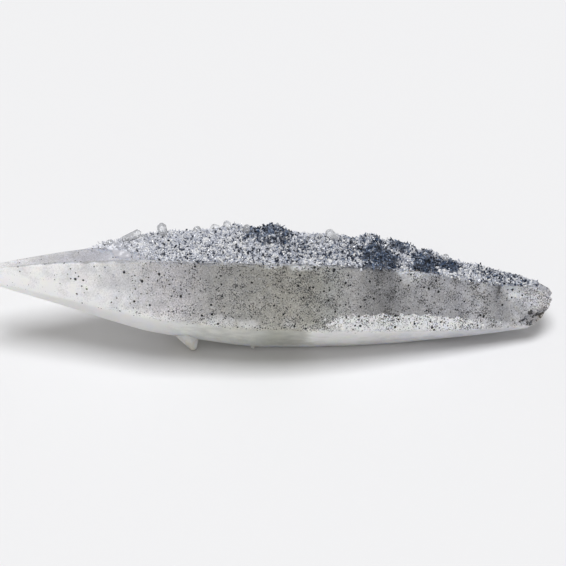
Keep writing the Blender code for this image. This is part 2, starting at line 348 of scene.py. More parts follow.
FACE_DEGREES = (90, 30, -30, -90, -150, 150)
SIDES = len(FACE_DEGREES)
TOP, FRONT, LOW_FRONT, BOTTOM, LOW_BACK, UP_BACK = range(SIDES)
STATIONS = (
    (-50.5, (2.3, 1.7, 1.9, 2.0, 1.8, 1.6)),
    (-44.3, (4.1, 3.0, 3.3, 3.4, 3.1, 2.8)),
    (-38.6, (5.7, 4.4, 4.5, 4.9, 4.3, 3.8)),
    (-33.3, (7.0, 5.6, 5.8, 6.3, 5.4, 4.6)),
    (-27.5, (8.5, 7.1, 7.1, 7.9, 6.6, 6.0)),
    (-22.2, (9.7, 8.3, 8.1, 9.1, 7.6, 7.4)),
    (-12.9, (10.6, 9.2, 8.9, 10.5, 8.5, 8.5)),
    (-3.6, (11.4, 9.9, 9.45, 11.6, 9.0, 9.1)),
    (5.9, (11.7, 10.0, 9.3, 11.1, 9.1, 8.9)),
    (15.4, (11.3, 9.2, 8.8, 10.3, 8.8, 8.6)),
    (25.0, (10.0, 7.6, 7.8, 8.7, 8.0, 7.7)),
    (34.7, (8.2, 5.9, 6.8, 6.6, 6.8, 6.1)),
    (44.4, (6.0, 4.1, 5.5, 4.4, 5.3, 4.4)),
    (50.6, (4.8, 2.8, 4.4, 3.2, 4.2, 3.6)),
)
widest = max(STATIONS, key=lambda station: sum(station[1]))
print("the widest station is at x =", widest[0], "where the faces lie at", widest[1])

# %% [markdown]
# A few functions turn the table into points. Each works at any X, so the body, the crust and the
# crystals that grow on it all stand on one and the same shape.

# %% Faces and corners


def direction(degrees):
    """Unit vector across the axis: 0 looks to the front (-Y), 90 looks up."""
    angle = math.radians(degrees)
    return Vector((0.0, -math.cos(angle), math.sin(angle)))


def smooth_step(low, high, value):
    """0 up to low, 1 from high, and smooth between them. Low may be the larger of the two."""
    share = min(1.0, max(0.0, (value - low) / (high - low)))
    return share * share * (3.0 - 2.0 * share)


def axis_height(x):
    """Height of the crystal's axis above the surface that it lies on."""
    return AXIS_HEIGHT - AXIS_FALL * (x - LEVEL_X)


def face_distances(x):
    """The six faces' distances from the axis at x, on a smooth curve through the stations."""
    last = len(STATIONS) - 2
    i = next((i for i in range(last) if x < STATIONS[i + 1][0]), last)
    (x0, near), (x1, far) = STATIONS[i], STATIONS[i + 1]
    x_before, before = STATIONS[max(i - 1, 0)]
    x_after, after = STATIONS[min(i + 2, len(STATIONS) - 1)]
    t = (x - x0) / (x1 - x0)
    found = []
    for p, a, b, q in zip(before, near, far, after):
        slope_a = (b - p) / (x1 - x_before) * (x1 - x0)
        slope_b = (q - a) / (x_after - x0) * (x1 - x0)
        found.append(
            (2 * t**3 - 3 * t**2 + 1) * a
            + (t**3 - 2 * t**2 + t) * slope_a
            + (3 * t**2 - 2 * t**3) * b
            + (t**3 - t**2) * slope_b
        )
    found[BOTTOM] = min(found[BOTTOM], axis_height(x))
    return found


def corner(distances, face):
    """Where a face meets the next one round, as (y, z) from the axis."""
    after = (face + 1) % SIDES
    n, m = direction(FACE_DEGREES[face]), direction(FACE_DEGREES[after])
    a, b = distances[face], distances[after]
    scale = 1.0 / (n.y * m.z - n.z * m.y)
    return Vector((0.0, (a * m.z - b * n.z) * scale, (b * n.y - a * m.y) * scale))


def on_face(x, face, share):
    """Point on a prism face, from the axis: share 0 is at the edge to the face before it."""
    distances = face_distances(x)
    across = corner(distances, (face - 1) % SIDES).lerp(corner(distances, face), share)
    return Vector((x, across.y, across.z))


front_middle = on_face(LEVEL_X, FRONT, 0.5)
print("middle of the front face at x =", LEVEL_X, "from the axis:", [round(c, 1) for c in front_middle])

# %% [markdown]
# ## The body's surface
#
# Natural prism faces are nearly flat, never perfectly so. Three things make them look grown and
# not machined: the edges are worn a little round, the faces roll by a tenth of a millimetre, and
# fine growth lines run across them. Rounding comes from a power mean of the six distances, which
# is a hexagon with soft corners. The rest is noise, moved along each face's own direction. Near
# the broken end a shallow flake has come off the front face.
#
# The surface also stores how far round the crystal each point is, which the material uses later:
# 0 to 1 is the top face, 1 to 2 the front face and so on, up to 6.

# %% Body: rounded edges and relief
EDGE_SOFTNESS = 70.0
ROLL_SIZE = 6.0
ROLL_HEIGHT = 0.16
GRAIN_SIZE = 0.9
GRAIN_HEIGHT = 0.045
GROWTH_LINE_GAP = 1.3
GROWTH_LINE_HEIGHT = 0.05
GROWTH_LINE_WANDER = 0.8
WANDER_SIZE = 3.0
LINE_PATCH_SIZE = 5.0
LINE_PATCH_SHIFT = Vector((9.0, 0.0, 0.0))
FACE_SHIFT = Vector((0.0, 0.0, 30.0))
RELIEF_START = 6.0
CALM_EDGE = 0.06
FLAKE_X = 44.3
FLAKE_SLANT = 2.1
FLAKE_TOP = 0.1
FLAKE_STEP = 0.6
FLAKE_DEPTH = 0.4
FLAKE_ROUGHNESS = 0.9
FLAKE_GRAIN_SIZE = 1.0
BODY_GAP = 0.42
BODY_COLUMNS = (18, 30, 22, 10, 18, 18)


def softened(point, distances):
    """Pulls a point of the hexagon in where two faces meet, so that the edge is round."""
    total = 0.0
    for degrees, distance in zip(FACE_DEGREES, distances):
        total += max(0.0, direction(degrees).dot(point) / distance) ** EDGE_SOFTNESS
    scale = total ** (-1.0 / EDGE_SOFTNESS)
    return Vector((point.x, point.y * scale, point.z * scale))


def flake(point, face, share):
    """Depth of the flake that has come off the front face, with a rough surface."""
    if face != FRONT:
        return 0.0
    inside = smooth_step(FLAKE_X, FLAKE_X + FLAKE_STEP, point.x + FLAKE_SLANT * (share - FLAKE_TOP))
    rough = 1.0 + FLAKE_ROUGHNESS * noise.noise(point / FLAKE_GRAIN_SIZE)
    faded = smooth_step(0.0, 0.15, share) * smooth_step(1.0, 0.6, share)
    return FLAKE_DEPTH * inside * rough * faded


def relief(point, face):
    """Height of the face's own fine relief: slow rolls, a fine grain and growth lines across."""
    shifted = point + FACE_SHIFT * face
    roll = ROLL_HEIGHT * noise.noise(shifted / ROLL_SIZE)
    grain = GRAIN_HEIGHT * noise.noise(shifted / GRAIN_SIZE)
    wander = GROWTH_LINE_WANDER * noise.noise(shifted / WANDER_SIZE)
    line = math.sin(2.0 * math.pi * (point.x + wander) / GROWTH_LINE_GAP)
    strength = max(0.0, noise.noise(shifted / LINE_PATCH_SIZE + LINE_PATCH_SHIFT))
    return roll + grain + GROWTH_LINE_HEIGHT * strength * line


def body_ring(x):
    """[(point, how far round)] of the body at x."""
    distances = face_distances(x)
    ring = []
    for face, columns in enumerate(BODY_COLUMNS):
        for column in range(columns):
            share = column / columns
            point = softened(on_face(x, face, share), distances)
            height = relief(point, face)
            height *= smooth_step(PYRAMID_BASE_X, PYRAMID_BASE_X + RELIEF_START, x)
            height *= smooth_step(0.0, CALM_EDGE, min(share, 1.0 - share))
            point += (height - flake(point, face, share)) * direction(FACE_DEGREES[face])
            point.z = max(point.z + axis_height(x), 0.0)
            ring.append((point, face + share))
    return ring


print("points in each ring of the body:", sum(BODY_COLUMNS))

# %% [markdown]
# ## The broken end
#
# Quartz breaks like thick glass, in shallow shells, and this break is old and chipped. A boolean cut
# would leave a sharp rim, so the last ring of the body is drawn in towards its middle in small
# steps instead. Its foot and its head are set back, and noise with sharp creases roughens it.

# %% Broken end
BREAK_STEPS = 26
BREAK_INSET = 0.3
BREAK_ROUGHNESS = 0.5
BREAK_GRAIN_SIZE = 1.1
BREAK_CHIP_SIZE = 1.6
BREAK_CHIP_DEPTH = 0.55
BREAK_CURVE = 2.6
BREAK_REACH = 1.15
BREAK_HEAD_START = 0.6
CHIP_LEVEL = 0.4


def middle_of(ring):
    """The middle of a ring of (point, how far round)."""
    return sum((point for point, _ in ring), Vector()) / len(ring)


def broken_rings(last):
    """Rings from the body's last ring to the middle of the break."""
    middle = middle_of(last)
    head = max(point.z for point, _ in last)
    foot = min(point.z for point, _ in last)
    rings = []
    for step in range(1, BREAK_STEPS):
        share = step / BREAK_STEPS
        scale = (1.0 - share**BREAK_CURVE) ** (1.0 / BREAK_CURVE)
        reach = min(1.0, BREAK_REACH * share)
        ring = []
        for point, around in last:
            found = middle + (point - middle) * scale
            height = (found.z - foot) / (head - foot)
            set_back = BREAK_INSET + BREAK_FOOT_SET_BACK * smooth_step(1.0, 0.0, height) ** 3
            set_back += BREAK_HEAD_SET_BACK * smooth_step(BREAK_HEAD_START, 1.0, height)
            rough = BREAK_ROUGHNESS * noise.noise(found / BREAK_GRAIN_SIZE)
            chip = noise.voronoi(found / BREAK_CHIP_SIZE)[0][0] - CHIP_LEVEL
            rough += BREAK_CHIP_DEPTH * chip
            found.x += reach * (BREAK_END_X - set_back - BREAK_START_X + rough)
            ring.append((found, around))
        rings.append(ring)
    return rings


print("rings of the break:", BREAK_STEPS - 1)

# %% [markdown]
# ## From rings to a body
#
# A lathe or an extrude can't follow faces that change one by one, so the body's mesh is built
# directly: rings of points along X, joined by faces, with a point at each end. The normals are
# worked out once all the faces are in place, so they all point outwards.

# %% Mesh helpers


def object_of(name, mesh, *materials):
    """Makes an object of a bmesh, which it frees."""
    bmesh.ops.recalc_face_normals(mesh, faces=mesh.faces)
    made = bpy.data.objects.new(name, bpy.data.meshes.new(name))
    mesh.to_mesh(made.data)
    mesh.free()
    for material in materials:
        made.data.materials.append(material)
    bpy.context.scene.collection.objects.link(made)
    return made


def mesh_from_rings(rings, start, end):
    """A closed tube through the rings, with a point at each end. Stores how far round it is."""
    mesh = bmesh.new()
    around = mesh.loops.layers.float.new("around")
    loops = [[mesh.verts.new(point * MM) for point, _ in ring] for ring in rings]
    shares = [share for _, share in rings[0]] + [float(SIDES)]
    first = mesh.verts.new(start * MM)
    last = mesh.verts.new(end * MM)
    count = len(loops[0])

    def add_face(verts, columns):
        for corner_of, column in zip(mesh.faces.new(verts).loops, columns):
            corner_of[around] = shares[column]

    for i in range(count):
        j = (i + 1) % count
        add_face((first, loops[0][i], loops[0][j]), (i, i, i + 1))
        add_face((last, loops[-1][j], loops[-1][i]), (i, i + 1, i))
        for near, far in zip(loops, loops[1:]):
            add_face((near[i], far[i], far[j], near[j]), (i, i, i + 1, i + 1))
    return mesh


# %% Body mesh
TIP_Y = 0.2


def evenly(start, end, gap):
    """Places from start to end, about gap apart."""
    count = int((end - start) / gap)
    return [start + (end - start) * i / count for i in range(count + 1)]


sections = [body_ring(x) for x in evenly(PYRAMID_BASE_X, BREAK_START_X, BODY_GAP)]
sections += broken_rings(sections[-1])
break_middle = middle_of(sections[-1])
tip = Vector((TIP_X, TIP_Y, axis_height(TIP_X)))
body = object_of("quartz_body", mesh_from_rings(sections, tip, break_middle))
body.data.shade_smooth()
print("body:", len(body.data.polygons), "faces")

# %% [markdown]
# ## Milky quartz
#
# The long crystal is clouded quartz: light enters it, scatters and comes out again, so a thin end
# looks white on white cloth and the thick middle looks grey. Most of the look is Subsurface, mixed
# with some plain transmission. Real depth of cloudiness would need a volume, which renders slowly,
# so its colour is given instead. It changes along the crystal and from face to face: the tables
# give the tones of the front, the low front and the top face by the place along X.

# %% Tones of the body: X in millimetres, red, green, blue
FRONT_TONES = (
    (-54.5, 249, 249, 251), (-39.0, 239, 239, 242), (-32.0, 229, 229, 231),
    (-26.0, 212, 212, 214), (-20.0, 199, 197, 199), (-16.0, 195, 193, 196),
    (-11.0, 169, 168, 167), (-2.0, 162, 161, 156), (3.0, 167, 165, 158),
    (8.0, 164, 163, 156), (12.0, 178, 179, 176), (16.5, 179, 178, 178),
    (20.0, 145, 145, 146), (22.5, 137, 137, 139), (26.0, 167, 167, 169),
    (31.0, 176, 176, 179), (36.0, 174, 174, 178), (40.5, 197, 197, 200),
    (44.0, 155, 155, 158), (46.0, 175, 175, 177), (51.0, 214, 214, 218),
    (54.7, 205, 205, 209),
)
# The low front face holds painted light: it is near white where light shines through it, at the pale
# end and past the belly, and darker at the belly, which is painted shade where it lies close to the
# cloth.
LOW_FRONT_TONES = (
    (-54.5, 255, 255, 255), (-31.5, 255, 255, 255), (-22.0, 252, 252, 252),
    (-12.5, 219, 220, 216), (-6.0, 212, 213, 207), (-3.0, 202, 203, 197),
    (1.5, 173, 175, 166), (6.5, 187, 187, 180), (9.5, 242, 242, 239),
    (12.0, 255, 255, 255), (20.0, 255, 255, 255), (30.0, 243, 244, 249),
    (38.5, 222, 223, 229), (54.7, 216, 217, 222),
)
TOP_TONES = (
    (-54.5, 238, 238, 241), (-45.0, 213, 213, 216), (-39.0, 187, 187, 191),
    (-34.5, 188, 188, 194), (-25.0, 206, 206, 212), (-18.0, 172, 174, 182),
    (12.0, 168, 170, 178), (16.5, 85, 91, 105), (24.0, 85, 91, 105),
    (27.0, 194, 196, 201), (29.5, 95, 101, 113), (32.0, 149, 151, 157),
    (38.0, 175, 176, 181), (46.0, 140, 142, 150), (54.7, 180, 181, 188),
)
print("tones at", len(FRONT_TONES), "places along the front")

# %% [markdown]
# Black mineral dots the body. It lies thickest from the middle to the broken end, where much of it
# is in large specks, and the pale end has only a few, which are placed one by one. The specks lie
# in the quartz and not on it, so they are colour and not mesh. Frosted places are where the surface
# is bruised or overgrown, and a few small bright spots among them are painted glints. All of these
# are tables, too, with places given as X and how far round.

# %% Specks, frost and painted glints on the body
# How thickly black specks lie, by X.
SPECK_COVER = (
    (-54.5, 0.02), (-42.0, 0.12), (-30.0, 0.22), (-24.0, 0.45), (-16.0, 0.65), (-8.0, 0.72),
    (0.0, 0.72), (6.0, 0.8), (9.0, 1.0), (12.5, 0.95), (16.0, 0.6), (20.0, 0.75),
    (22.5, 1.0), (26.0, 0.65), (34.0, 0.8), (42.0, 0.9), (45.5, 0.45), (54.7, 0.8),
)

# The share of them that is large, by X.
LARGE_SPECK_SHARE = ((-54.5, 0.0), (-26.0, 0.0), (-14.0, 0.45), (4.0, 0.5), (9.0, 0.9), (54.7, 0.9))

# Frosted places and painted glints on the body: x, how far round, half length in mm, half width in
# shares of a face, softness of the edge and strength. The small spots low on the front face and on
# the low front face are painted glints.
FROST_AND_GLINTS = (
    (26.0, 1.88, 14.0, 0.15, 0.1, 0.95),
    (38.0, 1.9, 6.0, 0.1, 0.5, 0.5),
    (27.0, 0.97, 2.4, 0.2, 0.6, 0.75),
    (-9.0, 1.93, 3.2, 0.09, 0.7, 0.5),
    (-3.4, 1.93, 1.8, 0.07, 0.7, 0.5),
    (4.2, 1.9, 1.2, 0.08, 0.7, 0.35),
    (0.8, 1.01, 1.6, 0.06, 0.5, 0.8),
    (6.4, 1.05, 1.8, 0.04, 0.5, 0.7),
    (13.6, 2.35, 3.0, 0.25, 0.7, 0.5),
    (47.0, 1.12, 2.0, 0.2, 0.5, 0.75),
)
DARK_END = (52.2, 1.85, 3.8, 0.24)

# Single larger specks on the pale part: x, how far round, radius in mm.
PLACED_SPECKS = (
    (-35.6, 1.42, 0.27), (-34.1, 1.43, 0.2), (-33.5, 1.63, 0.17), (-35.4, 1.79, 0.2),
    (-26.4, 1.21, 0.25), (-23.1, 1.36, 0.25), (-19.9, 1.22, 0.24), (-16.0, 1.57, 0.24),
    (-21.8, 1.77, 0.2), (-46.3, 1.05, 0.18), (-41.2, 1.01, 0.15), (-39.3, 0.98, 0.16),
    (-37.6, 1.01, 0.15), (-35.1, 0.97, 0.15),
)

print("placed specks:", len(PLACED_SPECKS), "and frosted places:", len(FROST_AND_GLINTS))

# %% [markdown]
# ## Mixing the faces' tones
#
# Each face starts with its own tone. The tones meet along the edges, with a little noise, so that
# no straight line shows. Towards its foot at the pale half the front is painted lighter: painted
# light from the cloth below and from light passing through the quartz.

# %% Milky quartz: tones
ALONG_SWAY = (5.0, 4.0)
ROUND_SWAY = (2.5, 0.12)
PAINTED_LIGHT_ROUND = (1.25, 1.75)
PAINTED_LIGHT_ALONG = (14.0, 8.0)
PAINTED_LIGHT_GAIN = 1.14

quartz = Look("milky_quartz")
x = quartz.x()
around = quartz.attribute("around")
moved = quartz.swayed(x, *ALONG_SWAY)
swayed = quartz.swayed(around, *ROUND_SWAY)

front = quartz.tones(moved, FRONT_TONES)
low_front = quartz.tones(moved, LOW_FRONT_TONES)
top = quartz.tones(moved, TOP_TONES)
tone = top
# Where one face's tone turns into the next one's, by how far round.
for place, start, end, next_tone in (
    (swayed, 0.96, 1.06, front),
    (swayed, 1.84, 2.12, low_front),
    (around, 3.95, 4.1, front),
    (around, 4.97, 5.03, top),
):
    tone = quartz.mixed(quartz.ranged(place, start, end), tone, next_tone)
# Painted light: the front's foot at the pale half is made lighter in colour.
painted_light = quartz.times(quartz.ranged(swayed, *PAINTED_LIGHT_ROUND), quartz.ranged(x, *PAINTED_LIGHT_ALONG))
tone = quartz.shaded(tone, quartz.ranged(painted_light, 0.0, 1.0, 1.0, PAINTED_LIGHT_GAIN))
print("milky quartz, tones:", len(quartz.nodes), "nodes")

# %% [markdown]
# Inside the quartz are clouds and a fine grain. The grain is stronger where the crystal is thick,
# and the low front face, which light passes through, is nearly smooth.

# %% Milky quartz: clouds and grain
GRAIN_BY_X = ((-54.5, 0.4), (-28.0, 0.7), (-18.0, 1.3), (54.7, 1.3))
SMOOTH_STRIP = (1.95, 2.15, 3.9, 4.1)
STRIP_GRAIN = 0.15
QUARTZ_GRAIN = (0.25, 1.0)
CLOUD = (2.5, 4.0)
CLOUD_DEPTH = 0.12

plain = quartz.less(1.0, quartz.band(around, *SMOOTH_STRIP))
strength = quartz.levels(x, GRAIN_BY_X)
strength = quartz.math("MAXIMUM", strength, quartz.ranged(swayed, 1.05, 0.95))
strength = quartz.times(strength, quartz.ranged(plain, 0.0, 1.0, STRIP_GRAIN, 1.0))
grain = quartz.times(quartz.ripple(*QUARTZ_GRAIN), strength)
cloud = quartz.ranged(quartz.noise(*CLOUD), 0.3, 0.7, -CLOUD_DEPTH, CLOUD_DEPTH)
tone = quartz.shaded(tone, quartz.math("ADD", quartz.math("ADD", 1.0, grain), cloud))
print("milky quartz, with grain:", len(quartz.nodes), "nodes")

# %% [markdown]
# Frosted places with painted glints, single specks and the dark end are all spots on the body. One
# function makes them: an ellipse in X and how far round, whose edge may be ragged.

# %% Milky quartz: frosted places and painted glints
RAGGED_NOISE = (0.9, 5.0)
RAGGED_REACH = 1.6
FROST_AND_GLINT_MOTTLE = (0.8, 3.0)
FROST_AND_GLINT_LEAST = 0.65
FROST_AND_GLINT_COLOUR = srgb(250, 251, 253)


def ellipse(spot, edge, ragged):
    """1 inside a spot on the body: (x, how far round, half length, half width)."""
    squares = 0.0
    for place, middle, half in zip((x, around), spot, spot[2:]):
        share = quartz.math("DIVIDE", quartz.less(place, middle), half)
        squares = quartz.math("ADD", squares, quartz.times(share, share))
    distance = quartz.math("ADD", quartz.math("SQRT", squares), ragged)
    return quartz.ranged(distance, 1.0 + edge, 1.0 - edge)


ragged = quartz.times(quartz.ripple(*RAGGED_NOISE), RAGGED_REACH)
mottle = quartz.ranged(quartz.noise(*FROST_AND_GLINT_MOTTLE), 0.35, 0.6, FROST_AND_GLINT_LEAST, 1.0)
# Frosted places, and the small painted glints among them, are mixed towards a near white.
for *spot, softness, strength in FROST_AND_GLINTS:
    share = quartz.times(quartz.times(ellipse(spot, softness, ragged), mottle), strength)
    tone = quartz.mixed(share, tone, FROST_AND_GLINT_COLOUR)
print("milky quartz, frosted:", len(quartz.nodes), "nodes")

# %% [markdown]
# Light shines through thin edges and makes them pale, as along the foot of the low front face and
# under the crust's thin end. The edge under the thick crust lies in its shade, the bare ridge near
# the point is darker, and the flake starts with a dark crack.

# %% Milky quartz: edges and crack
CRACK_SWAY = (1.0, 0.7)
CRACK_X = FLAKE_X + 1.1 * FLAKE_SLANT
CRACK_RISE = 1.0
CRACK_WIDTH = 0.1
CRACK_FALL = 0.25
CRACK_ROUND = (0.9, 0.95, 1.15, 1.45)
FOOT_ROUND = (2.78, 2.9, 3.0, 3.06)
THIN_END_ROUND = (0.95, 0.98, 1.01, 1.04)
THIN_END_X = (28.0, 32.0)
SHADE_ROUND = (0.9, 0.97, 1.0, 1.04)
SHADE_X = (24.0, 14.0)
SHADE = 0.7
BARE_RIDGE_ROUND = (0.1, 0.02)
BARE_RIDGE_X = (-52.0, -46.0)

slanted = quartz.math("ADD", x, quartz.times(around, FLAKE_SLANT))
slanted = quartz.swayed(slanted, *CRACK_SWAY)
crack = quartz.band(
    slanted, CRACK_X - CRACK_RISE, CRACK_X - CRACK_WIDTH, CRACK_X, CRACK_X + CRACK_FALL
)
crack = quartz.times(crack, quartz.band(around, *CRACK_ROUND))
foot = quartz.band(swayed, *FOOT_ROUND)
thin_end = quartz.band(around, *THIN_END_ROUND)
thin_end = quartz.times(thin_end, quartz.ranged(x, *THIN_END_X))
ridge = quartz.times(quartz.ranged(around, *BARE_RIDGE_ROUND), quartz.ranged(x, *BARE_RIDGE_X))
for share, strength, colour in (
    (crack, 0.8, srgb(70, 70, 75)),
    (foot, 0.7, srgb(248, 248, 249)),
    (thin_end, 0.45, srgb(228, 229, 233)),
    (ridge, 0.5, srgb(120, 120, 126)),
):
    tone = quartz.mixed(quartz.times(share, strength), tone, colour)
shade = quartz.times(quartz.band(swayed, *SHADE_ROUND), quartz.ranged(x, *SHADE_X))
tone = quartz.shaded(tone, quartz.ranged(shade, 0.0, 1.0, 1.0, SHADE))
print("milky quartz, with edges:", len(quartz.nodes), "nodes")

# %% [markdown]
# Last come the specks, in three sizes. Fine ones are noise above a level, and larger ones are
# random cells with a round spot in some of them. Pale grains lie between them, and the broken end
# has dark crumbs. Then the shader gets its inputs. Light spreads a few millimetres inside, which
# softens it, while the specks stay crisp, because each point keeps its own colour.

# %% Milky quartz: specks and shader
LARGE_SPECKS = (0.95, 0.27)
MIDDLE_SPECKS = (0.5, 0.18)
FINE_SPECK_SIZE = 0.22
PALE_SPECK_SIZE = 0.3
CRUMB_SIZE = 0.65
CRUMB_DETAIL = 5.0
CRUMB_COVER = 0.88
FRONT_WIDTH = 9.0
SPOT_EDGE = 0.3
BUNCHES = (2.4, 3.0)
BUNCH_COVER = (0.55, 1.25)
PALE_MOST = 0.6
PALE_COVER = 0.9

dark_end = ellipse(DARK_END, SPOT_EDGE, ragged)
bunches = quartz.ranged(quartz.noise(*BUNCHES), 0.35, 0.65, *BUNCH_COVER)
cover = quartz.times(quartz.times(quartz.levels(moved, SPECK_COVER), bunches), plain)
fine = quartz.stipple(FINE_SPECK_SIZE, cover)
between = quartz.times(quartz.math("MINIMUM", cover, PALE_MOST), PALE_COVER)
pale = quartz.stipple(PALE_SPECK_SIZE, between)
middle = quartz.specks(*MIDDLE_SPECKS, cover)
large = quartz.times(cover, quartz.levels(x, LARGE_SPECK_SHARE))
large = quartz.specks(*LARGE_SPECKS, large)
for *place, radius in PLACED_SPECKS:
    spot = ellipse((*place, radius, radius / FRONT_WIDTH), SPOT_EDGE, 0.0)
    large = quartz.math("MAXIMUM", large, spot)
crumbs = quartz.stipple(CRUMB_SIZE, quartz.times(dark_end, CRUMB_COVER), CRUMB_DETAIL)

for share, strength, colour in (
    (dark_end, 0.6, srgb(84, 85, 90)),
    (pale, 0.3, srgb(240, 240, 242)),
    (fine, 0.8, srgb(52, 52, 55)),
    (middle, 0.92, srgb(34, 34, 37)),
    (large, 1.0, srgb(14, 14, 18)),
    (crumbs, 0.9, srgb(22, 22, 26)),
):
    tone = quartz.mixed(quartz.times(share, strength), tone, colour)
quartz.surface(
    {
        "Base Color": tone,
        "Roughness": 0.38,
        "IOR": QUARTZ_IOR,
        "Transmission Weight": 0.15,
        "Subsurface Weight": 0.8,
        "Subsurface Radius": (1.3, 1.1, 0.8),
        "Subsurface Scale": 3.0 * MM,
    }
)
body.data.materials.append(quartz.material)
print("milky quartz:", len(quartz.nodes), "nodes")

# %% [markdown]
# ## The crust's bed
#
# Under the small crystals lies a rough bed. It has the same swells and dark lumps as the packed
# solid, from the same formula. Two things are finer here: the crest along the ridge follows a
# table, and a crystalline grain of Worley noise lies on top, whose cells peak at their middles like
# a field of tiny crystal heads. A bump in the material would be less work, but it would look flat
# along the outline, so the grain is real mesh.
#
# Places on the crust are (x, across): across is 0 at the top face's front edge, 1 at the ridge
# where the two crusted faces meet, and 2 at the back face's lower edge.

# %% Crust sizes, in millimetres
CRUST_START_X = -34.1
CRUST_FULL_X = -20.6
CRUST_THIN_X = 25.4
CRUST_END_X = 50.6
CRUST_THICKNESS = 1.1
CRUST_END_SHARE = 0.35
CRUST_WIDTH = 18.0
CRUST_SWELL_SIZE = 4.5
CRUST_GRAIN_SIZE = 1.5
CRUST_GRAIN_HEIGHT = 0.75
CRUST_TAPER = 13.0
EDGE_NOTCH = 0.3
EDGE_NOTCH_GAP = 0.9
BED_GAP = 0.27
BED_COLUMNS = 72
BED_DEPTH = 0.8
BED_SUNK = 0.65
LUMP_SUNK = 0.3
BED_LEAST = 0.15
PEAK_SIZE = 0.5
PEAK_HEIGHT = 0.4
PEAK_LEVEL = 0.45

# Lumps of dark mineral: x, across, half length, half width, height.
DARK_LUMPS = (
    (1.1, 0.80, 4.4, 2.8, 1.5),
    (19.3, 0.80, 3.4, 2.6, 1.7),
    (21.6, 0.38, 4.2, 2.0, 1.3),
    (25.7, 1.00, 3.0, 1.6, 1.3),
    (29.7, 0.50, 2.6, 2.2, 1.3),
    (34.1, 0.55, 2.0, 1.6, 0.9),
    (10.9, 1.50, 4.2, 3.2, 1.3),
    (-16.1, 1.55, 3.6, 2.6, 1.1),
)

# The crust's crest: x and how much higher or lower it lies there, in mm.
CREST = (
    (-35.0, 0.0), (-26.2, 0.5), (-22.4, -0.5), (-18.5, 0.1), (-15.0, -0.5), (-10.3, 0.1),
    (-5.3, 0.6), (-0.5, -0.2), (2.3, 0.6), (5.0, 0.1), (7.8, -0.9), (10.6, -0.6),
    (14.4, 0.4), (17.6, -0.4), (20.5, 0.5), (24.7, 0.6), (27.7, 0.1), (31.1, 0.8),
    (34.2, -0.2), (36.2, 0.0), (39.9, 0.7), (47.5, 0.6), (51.0, 0.0), (56.0, 0.0),
)

# How dark the mineral lies in the crust: x, across, half length, half width, depth.
DARK_PLACES = (
    (0.8, 0.85, 4.2, 2.9, 0.8),
    (18.6, 0.85, 3.4, 2.8, 0.5),
    (21.0, 0.32, 3.5, 2.5, 0.97),
    (25.7, 1.0, 2.4, 1.3, 0.9),
    (29.8, 0.38, 2.7, 2.7, 1.0),
    (34.0, 0.62, 2.3, 2.0, 1.0),
    (4.8, 0.5, 3.2, 3.0, 0.45),
    (10.5, 0.5, 3.0, 3.0, 0.2),
    (15.0, 0.5, 2.5, 3.0, 0.35),
    (46.0, 0.6, 5.6, 3.0, 0.4),
    (10.9, 1.5, 4.2, 3.2, 0.8),
    (-16.1, 1.55, 3.6, 2.6, 0.7),
)
print("dark lumps:", len(DARK_LUMPS), "and places with dark mineral:", len(DARK_PLACES))

# %% [markdown]
# The crust's thickness is worked out at any place by a few small functions. Where nothing grows,
# the bed is sunk below the bare face, so that it doesn't show. Where crystals grow, it lies a
# little under their tips, and never below the body's own surface.

# %% Thickness and cover of the crust
LUMP_DOME = (1.15, 0.35)
DARK_FADE = (1.4, 0.7)
DARK_RAGGED = ((0.35, 1.2), (0.3, 3.0))
COVER_FRONT = (0.0, 0.2)
COVER_BACK = (2.0, 1.75)
REACH_BACK = (2.0, 1.9)
REACH_RISE = 3.0
REACH_EDGE = 0.04
SWELL_LEVEL = 0.75
SWELL_HEIGHT = 0.9
LEAST_CRUST = 0.1
RIDGE_TURN = 30.0
RIDGE_REACH = 0.6


def crust_place(across):
    """(face, share on it) for a place across the crust."""
    return (TOP, 1.0 - across) if across < 1.0 else (UP_BACK, 2.0 - across)


def face_width(x, face):
    """How wide a prism face is at x."""
    distances = face_distances(x)
    return (corner(distances, face) - corner(distances, (face - 1) % SIDES)).length


def from_lump(x, across, lump):
    """Distance from the middle of a dark lump, as a share of its half length and half width."""
    lump_x, lump_across, half_length, half_width, _ = lump
    face, _ = crust_place(across)
    sideways = (across - lump_across) * face_width(x, face) / half_width
    return math.hypot((x - lump_x) / half_length, sideways)


def lump_height(x, across):
    """How far the dark lumps swell the crust there, as smooth domes."""
    return sum(lump[-1] * smooth_step(*LUMP_DOME, from_lump(x, across, lump)) for lump in DARK_LUMPS)


def darkness(x, across):
    """From 0 on clear crust to 1 on a dark lump, with a ragged edge."""
    spot = Vector((x, 0.5 * CRUST_WIDTH * across, 0.0))
    ragged = sum(height * noise.noise(spot / size) for height, size in DARK_RAGGED)
    return max(
        place[-1] * smooth_step(*DARK_FADE, from_lump(x, across, place) + ragged)
        for place in DARK_PLACES
    )


def crust_cover(x, across):
    """From 0 where the face is bare to 1 where the crust is full."""
    along = smooth_step(CRUST_START_X, CRUST_FULL_X, x)
    along *= 1.0 - (1.0 - CRUST_END_SHARE) * smooth_step(CRUST_THIN_X, CRUST_END_X, x)
    return along * smooth_step(*COVER_FRONT, across) * smooth_step(*COVER_BACK, across)


def crust_reach(x, across):
    """1 where small crystals grow. At its pale end the crust tapers in from the ridge."""
    start = CRUST_START_X + CRUST_TAPER * abs(1.0 - across)
    along = smooth_step(start, start + REACH_RISE, x)
    edge = EDGE_NOTCH * max(0.0, noise.noise(Vector((x / EDGE_NOTCH_GAP, across, 0.0))))
    along *= smooth_step(edge, edge + REACH_EDGE, across)
    return along * smooth_step(*REACH_BACK, across)


